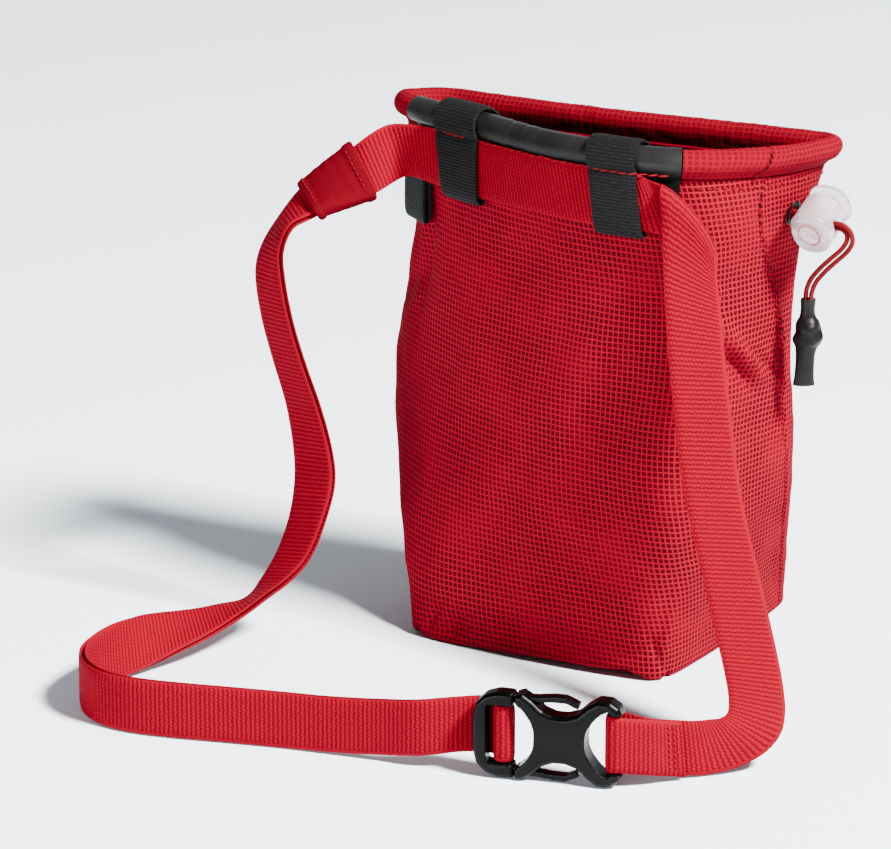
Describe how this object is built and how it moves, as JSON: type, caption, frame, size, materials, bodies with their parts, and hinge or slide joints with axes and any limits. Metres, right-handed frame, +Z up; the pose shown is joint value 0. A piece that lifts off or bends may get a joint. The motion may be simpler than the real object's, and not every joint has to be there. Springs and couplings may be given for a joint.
{
  "type": "climbing chalk bag",
  "caption": "Cloth chalk bag with a stiff rolled rim, drawcord with cord lock, and a webbing waist belt closed by a side-release buckle",
  "frame": {"origin": "centre of the square bottom, on the floor", "axes": "+Z up, -Y out of the belt side, +X towards the cord lock side"},
  "size_m": [0.2349, 0.2326, 0.187],
  "materials": {
    "ripstop_cloth": "woven ripstop grid, matt",
    "lining_fleece": "short fleece, matt",
    "rim_cloth": "woven, matt",
    "keeper_cloth": "woven, matt",
    "red_webbing": "ribbed webbing",
    "black_webbing": "ribbed webbing",
    "red_cord": "braided cord",
    "black_rubber": "satin",
    "black_plastic": "moulded satin",
    "clear_plastic": "cloudy clear"
  },
  "bodies": {
    "bag": {"bag_shell": "ripstop_cloth", "bag_lining": "lining_fleece", "rim_binding": "rim_cloth", "rim_grip": "black_rubber", "belt_loop_left": "black_webbing", "belt_loop_right": "black_webbing", "waist_belt": "red_webbing", "belt_keeper": "keeper_cloth", "side_tab": "black_webbing", "buckle_plug": "black_plastic", "buckle_socket": "black_plastic", "cord_lock_barrel": "clear_plastic", "draw_cord_strand_1": "red_cord", "draw_cord_strand_2": "red_cord", "cord_eyelet": "black_plastic", "cord_end": "black_rubber"},
    "plunger": {"cord_lock_plunger": "clear_plastic"}
  },
  "joints": [
    {"name": "cord_lock_plunger_press", "type": "slide", "parent": "bag", "child": "plunger", "axis": [0, -0.9052, -0.4251], "range_m": [0, 0.0018], "stiffness_N_per_m": 300}
  ]
}
